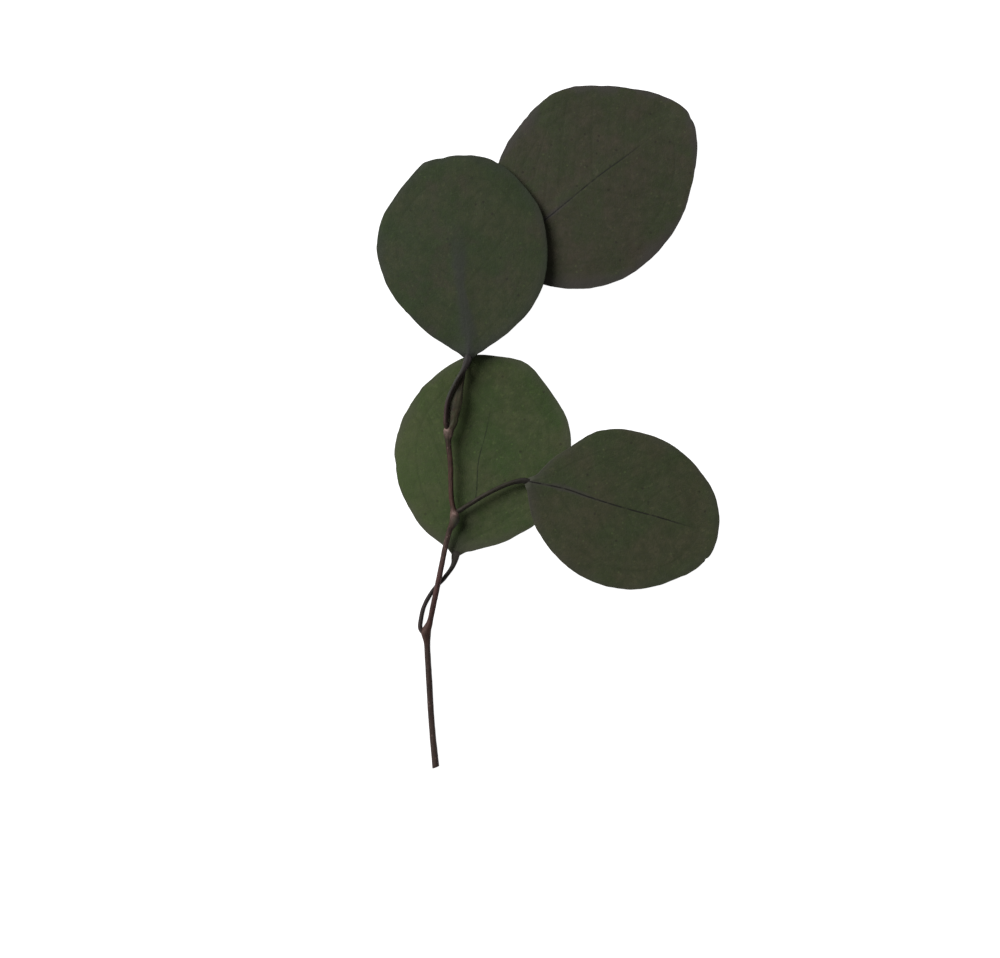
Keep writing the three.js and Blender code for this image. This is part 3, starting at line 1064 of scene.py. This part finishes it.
@dataclass
class Petiole:
    """A leaf's stalk. It starts inside the stem's node and runs out under the midrib.

    `start` lies inside the stem, and `points` and `radii` follow the CAD's. `rise` is
    how far the stalk's last stretch stands proud of the blade's upper face.
    """

    leaf: str
    start: Point
    points: list[Point]
    radii: list[float]
    blade: "Blade"
    finish: BarkFinish
    rise: float = -0.1
    widen: float = 0.3
    seed: float = 1.0

    INTO_BLADE, HALF_HEIGHTS = (1.6, 5.5), (0.36, 0.16)
    FLATTEN = 0.42

    def build(self) -> bpy.types.Object:
        """Makes and dresses the stalk.

        Returns:
            The finished piece.
        """
        ends = []
        for reach, half_height in zip(self.INTO_BLADE, self.HALF_HEIGHTS):
            x, y = np.array(self.blade.base) + self.blade.ahead * reach
            top = float(self.blade.cad.top(np.array([x]), np.array([y]))[0])
            ends.append((x, y, top - half_height + self.rise))
        route = Route([self.start, *self.points, *ends])
        radii_end = route.share_near(*self.points[-1][:2])
        bar = Bar(
            f"{self.leaf}_petiole_fine", route, [self.radii[0] * 1.1, *self.radii], radii_end=radii_end,
            tip_radius=0.14, sides=28, rows=220, ridges=6, ridge_depth=0.022, angular=0.02,
            groove_depth=0.08, flatten=self.FLATTEN, widen=self.widen, seed=self.seed,
        )
        piece = bar.build()
        dress(piece, self.finish.material(), f"{self.leaf}_petiole")
        return piece


class Sprig:
    """The whole sprig: the stem and its four leaves."""

    def blades(self) -> dict[str, Blade]:
        """The four blades, by leaf."""
        return {
            "leaf_1": Blade(
                "leaf_1", (-27.75, -37.65), 77.3, 60.0,
                Venation([(0, 0), (16.5, -2.2), (28, -0.6), (38, -0.9), (46, -0.6), (60, 0)], seed=1.0),
                LeafFinish(
                    "leaf_1_skin", green=(54, 70, 35), olive=(65, 72, 44), brown=(67, 64, 45),
                    bloom=(68, 68, 57), painted_left_light=0.22, rib=(30, 36, 22), bloom_reach=4.0, brown_amount=0.3,
                    band=3.0, band_end=0.4, band_strength=0.2, line=0.16, line_span=(0.24, 0.8), seed=1.0,
                ),
                "leaf_green", seed=1.0, cockle=0.12, groove=0.0, neck=2.7,
                nicks=[Nick(52, -0.2, 2.0), Nick(110, 0.15, 1.6)],
            ),
            "leaf_2": Blade(
                "leaf_2", (-6.45, -16.35), -15.7, 59.7,
                Venation([(0, 0), (12, 0.8), (19, 0.4), (30, 0.1), (41, 0.2), (52, 0.0), (59.7, 0)], seed=2.0),
                LeafFinish(
                    "leaf_2_skin", green=(53, 62, 37), olive=(63, 62, 44), brown=(65, 58, 46),
                    bloom=(60, 58, 53), rib=(26, 25, 21), bloom_reach=4.0, bloom_strength=0.35,
                    base_bloom=0.6, brown_amount=0.18, band=1.2, band_end=0.5, line=0.22,
                    line_span=(-0.1, 0.9), seed=2.0,
                ),
                "leaf_olive", seed=2.0, groove=0.06,
                nicks=[Nick(-16, 0.35, 0.5), Nick(-30, -0.15, 1.4)],
            ),
            "leaf_3": Blade(
                "leaf_3", (-23.95, 20.6), 95.0, 60.4,
                Venation([(0, 0), (8, -0.7), (21, 0.2), (33, 0.3), (43, 0.3), (60.4, 0)], seed=3.0),
                LeafFinish(
                    "leaf_3_skin", green=(42, 53, 28), olive=(52, 55, 35), brown=(55, 49, 40),
                    bloom=(42, 44, 40), rib=(45, 44, 44), bloom_reach=4.5, brown_amount=0.5,
                    band=3.2, band_end=0.72, line=0.3, line_span=(-0.1, 0.16), seed=3.0,
                ),
                "leaf_olive", seed=3.0, groove=0.0, top_ridge=0.06,
                nicks=[Nick(5, 0.25, 1.2), Nick(16, -0.4, 1.6), Nick(-27, 0.2, 1.5)],
            ),
            "leaf_4": Blade(
                "leaf_4", (-16.65, 50.55), 37.3, 73.0,
                Venation([(0, 0), (20, -0.5), (26, -0.3), (40, 0.2), (52, 0.0), (73, 0)], pairs=10, seed=4.0),
                LeafFinish(
                    "leaf_4_skin", green=(52, 58, 37), olive=(60, 57, 44), brown=(63, 55, 46),
                    bloom=(60, 56, 56), rib=(27, 27, 25), bloom_reach=6.0, bloom_strength=0.65,
                    brown_amount=0.5, band=1.4, band_end=0.45, line=0.19, line_span=(0.0, 0.82), seed=4.0,
                ),
                "leaf_olive", seed=4.0, cells=190, groove=0.04,
                nicks=[Nick(-4, 0.3, 1.0), Nick(62, -0.15, 1.4), Nick(96, 0.2, 1.4)],
            ),
        }

    def petioles(self, blades: dict[str, Blade]) -> list[Petiole]:
        """The four stalks.

        Args:
            blades: The blades that they run into, by leaf.

        Returns:
            The stalks, not yet built.
        """
        dark = BarkFinish(
            "stalk_dark",
            stops=((0.0, (56, 43, 42)), (0.3, (47, 41, 39)), (0.6, (43, 40, 35)), (1.0, (50, 46, 43))),
            streak=(66, 60, 56), scar=(90, 76, 70), tip=(56, 52, 47), seed=3.0,
        )
        brown = BarkFinish(
            "stalk_brown",
            stops=((0.0, (50, 45, 37)), (0.3, (47, 42, 34)), (0.6, (41, 38, 29)), (1.0, (36, 34, 28))),
            streak=(50, 47, 38), scar=(66, 60, 50), tip=(36, 33, 29), groove_painted_shade=0.2, seed=5.0,
        )
        red = BarkFinish(
            "stalk_red",
            stops=(
                (0.0, (60, 42, 37)), (0.28, (50, 36, 36)), (0.38, (45, 47, 41)), (0.8, (42, 42, 36)),
                (1.0, (44, 41, 38)),
            ),
            streak=(60, 62, 55), scar=(84, 76, 68), tip=(44, 41, 40), groove_painted_shade=1.0, seed=7.0,
        )
        return [
            Petiole(
                "leaf_1", (-37.0, -62.4, 1.95),
                [
                    (-38.35, -60.4, 1.75), (-38.25, -58.0, 1.2), (-37.4, -54.2, 0.84), (-35.8, -51.0, 0.76),
                    (-33.6, -47.9, 0.74), (-31.0, -45.1, 0.74), (-28.6, -41.6, 0.78), (-27.8, -38.4, 0.82),
                ],
                [0.68, 0.66, 0.66, 0.66, 0.68, 0.76], blades["leaf_1"], dark, widen=0.6, seed=11.0,
            ),
            Petiole(
                "leaf_2", (-27.9, -25.7, 3.35),
                [
                    (-26.3, -24.95, 3.35), (-25.2, -24.25, 3.3), (-23.55, -23.25, 3.2), (-21.6, -22.0, 3.1),
                    (-18.1, -20.0, 2.95), (-11.6, -17.05, 2.75), (-7.1, -16.2, 2.65),
                ],
                [0.68, 0.7, 0.7, 0.7, 0.72, 0.78], blades["leaf_2"], brown, rise=0.06, widen=0.1, seed=12.0,
            ),
            Petiole(
                "leaf_3", (-30.0, -1.2, 4.4),
                [
                    (-30.65, 0.8, 5.15), (-30.6, 3.5, 5.35), (-30.35, 6.3, 5.5), (-29.5, 9.3, 5.65),
                    (-27.5, 13.3, 5.85), (-25.35, 16.8, 6.25), (-24.15, 19.8, 6.6),
                ],
                [0.72, 0.7, 0.7, 0.78, 0.93], blades["leaf_3"], red, rise=-0.05, widen=0.2, seed=13.0,
            ),
            Petiole(
                "leaf_4", (-21.3, 30.1, 3.4),
                [
                    (-19.8, 31.9, 3.3), (-18.4, 35.5, 3.2), (-17.5, 40.5, 3.1), (-17.0, 46.0, 3.15),
                    (-16.85, 49.9, 3.25),
                ],
                [0.74, 0.7, 0.68, 0.76], blades["leaf_4"], dark, seed=14.0,
            ),
        ]

    def build(self) -> None:
        """Makes and dresses every piece."""
        Stem().build()
        blades = self.blades()
        for petiole in self.petioles(blades):
            petiole.build()
        for blade in blades.values():
            blade.build()


# ----------------------------------------------------------------------- studio


@dataclass(frozen=True)
class Studio:
    """A pale table, soft light from the upper left, and a camera that looks straight down."""

    camera_x: float = -14.55
    camera_y: float = -15.75
    camera_height: float = 833.0
    lens: float = 100.0
    floor_size: float = 6.0
    floor_grey: float = 0.3
    floor_glow: float = 1.0
    key_place: Point = (-0.64, 0.47, 0.66)
    key_power: float = 15.5
    key_size: float = 0.6
    world_strength: float = 0.17

    def floor(self) -> None:
        """The pale surface that the sprig lies on. It glows a little, as a light table does."""
        bm = bmesh.new()
        bmesh.ops.create_grid(bm, x_segments=1, y_segments=1, size=self.floor_size / 2)
        bmesh.ops.translate(bm, verts=bm.verts, vec=(0.0, 0.0, -0.02 * MM))
        mesh = bpy.data.meshes.new("floor")
        bm.to_mesh(mesh)
        bm.free()
        floor = bpy.data.objects.new("floor", mesh)
        bpy.context.scene.collection.objects.link(floor)
        g = Graph("floor_paint")
        paint = {
            "Base Color": (self.floor_grey, self.floor_grey, self.floor_grey, 1.0), "Roughness": 0.9,
            "Specular IOR Level": 0.0, "Emission Color": WHITE, "Emission Strength": self.floor_glow,
        }
        for socket, value in paint.items():
            g.put(g.shader, socket, value)
        mesh.materials.append(g.material)

    def light(self, name: str, place: Point, power: float, size: float) -> None:
        """A square soft light that faces the sprig.

        Args:
            name: The light's name.
            place: Where it stands, in metres.
            power: Its power in watts.
            size: Its side in metres.
        """
        data = bpy.data.lights.new(name, "AREA")
        data.energy = power
        data.size = size
        lamp = bpy.data.objects.new(name, data)
        lamp.location = place
        lamp.rotation_euler = (-Vector(place)).to_track_quat("-Z", "Y").to_euler()
        bpy.context.scene.collection.objects.link(lamp)

    def world(self) -> None:
        """Even light from all round."""
        world = bpy.data.worlds.new("studio")
        world.use_nodes = True
        background = world.node_tree.nodes["Background"]
        background.inputs["Color"].default_value = WHITE
        background.inputs["Strength"].default_value = self.world_strength
        bpy.context.scene.world = world

    def camera(self) -> None:
        """The camera, over the sprig, with +Y at the top of the picture."""
        data = bpy.data.cameras.new("camera")
        data.lens = self.lens
        data.sensor_width = 36.0
        data.clip_start = 0.01
        camera = bpy.data.objects.new("camera", data)
        camera.location = Vector((self.camera_x, self.camera_y, self.camera_height)) * MM
        bpy.context.scene.collection.objects.link(camera)
        bpy.context.scene.camera = camera

    def build(self) -> None:
        """Sets up the whole studio."""
        self.camera()
        self.floor()
        self.world()
        self.light("key", self.key_place, self.key_power, self.key_size)
        bpy.context.scene.view_settings.view_transform = "Standard"


def main() -> None:
    """Builds the studio and the sprig."""
    logging.basicConfig(level=logging.INFO, format="%(name)s: %(message)s")
    Studio().build()
    Sprig().build()


if __name__ == "__main__":
    main()
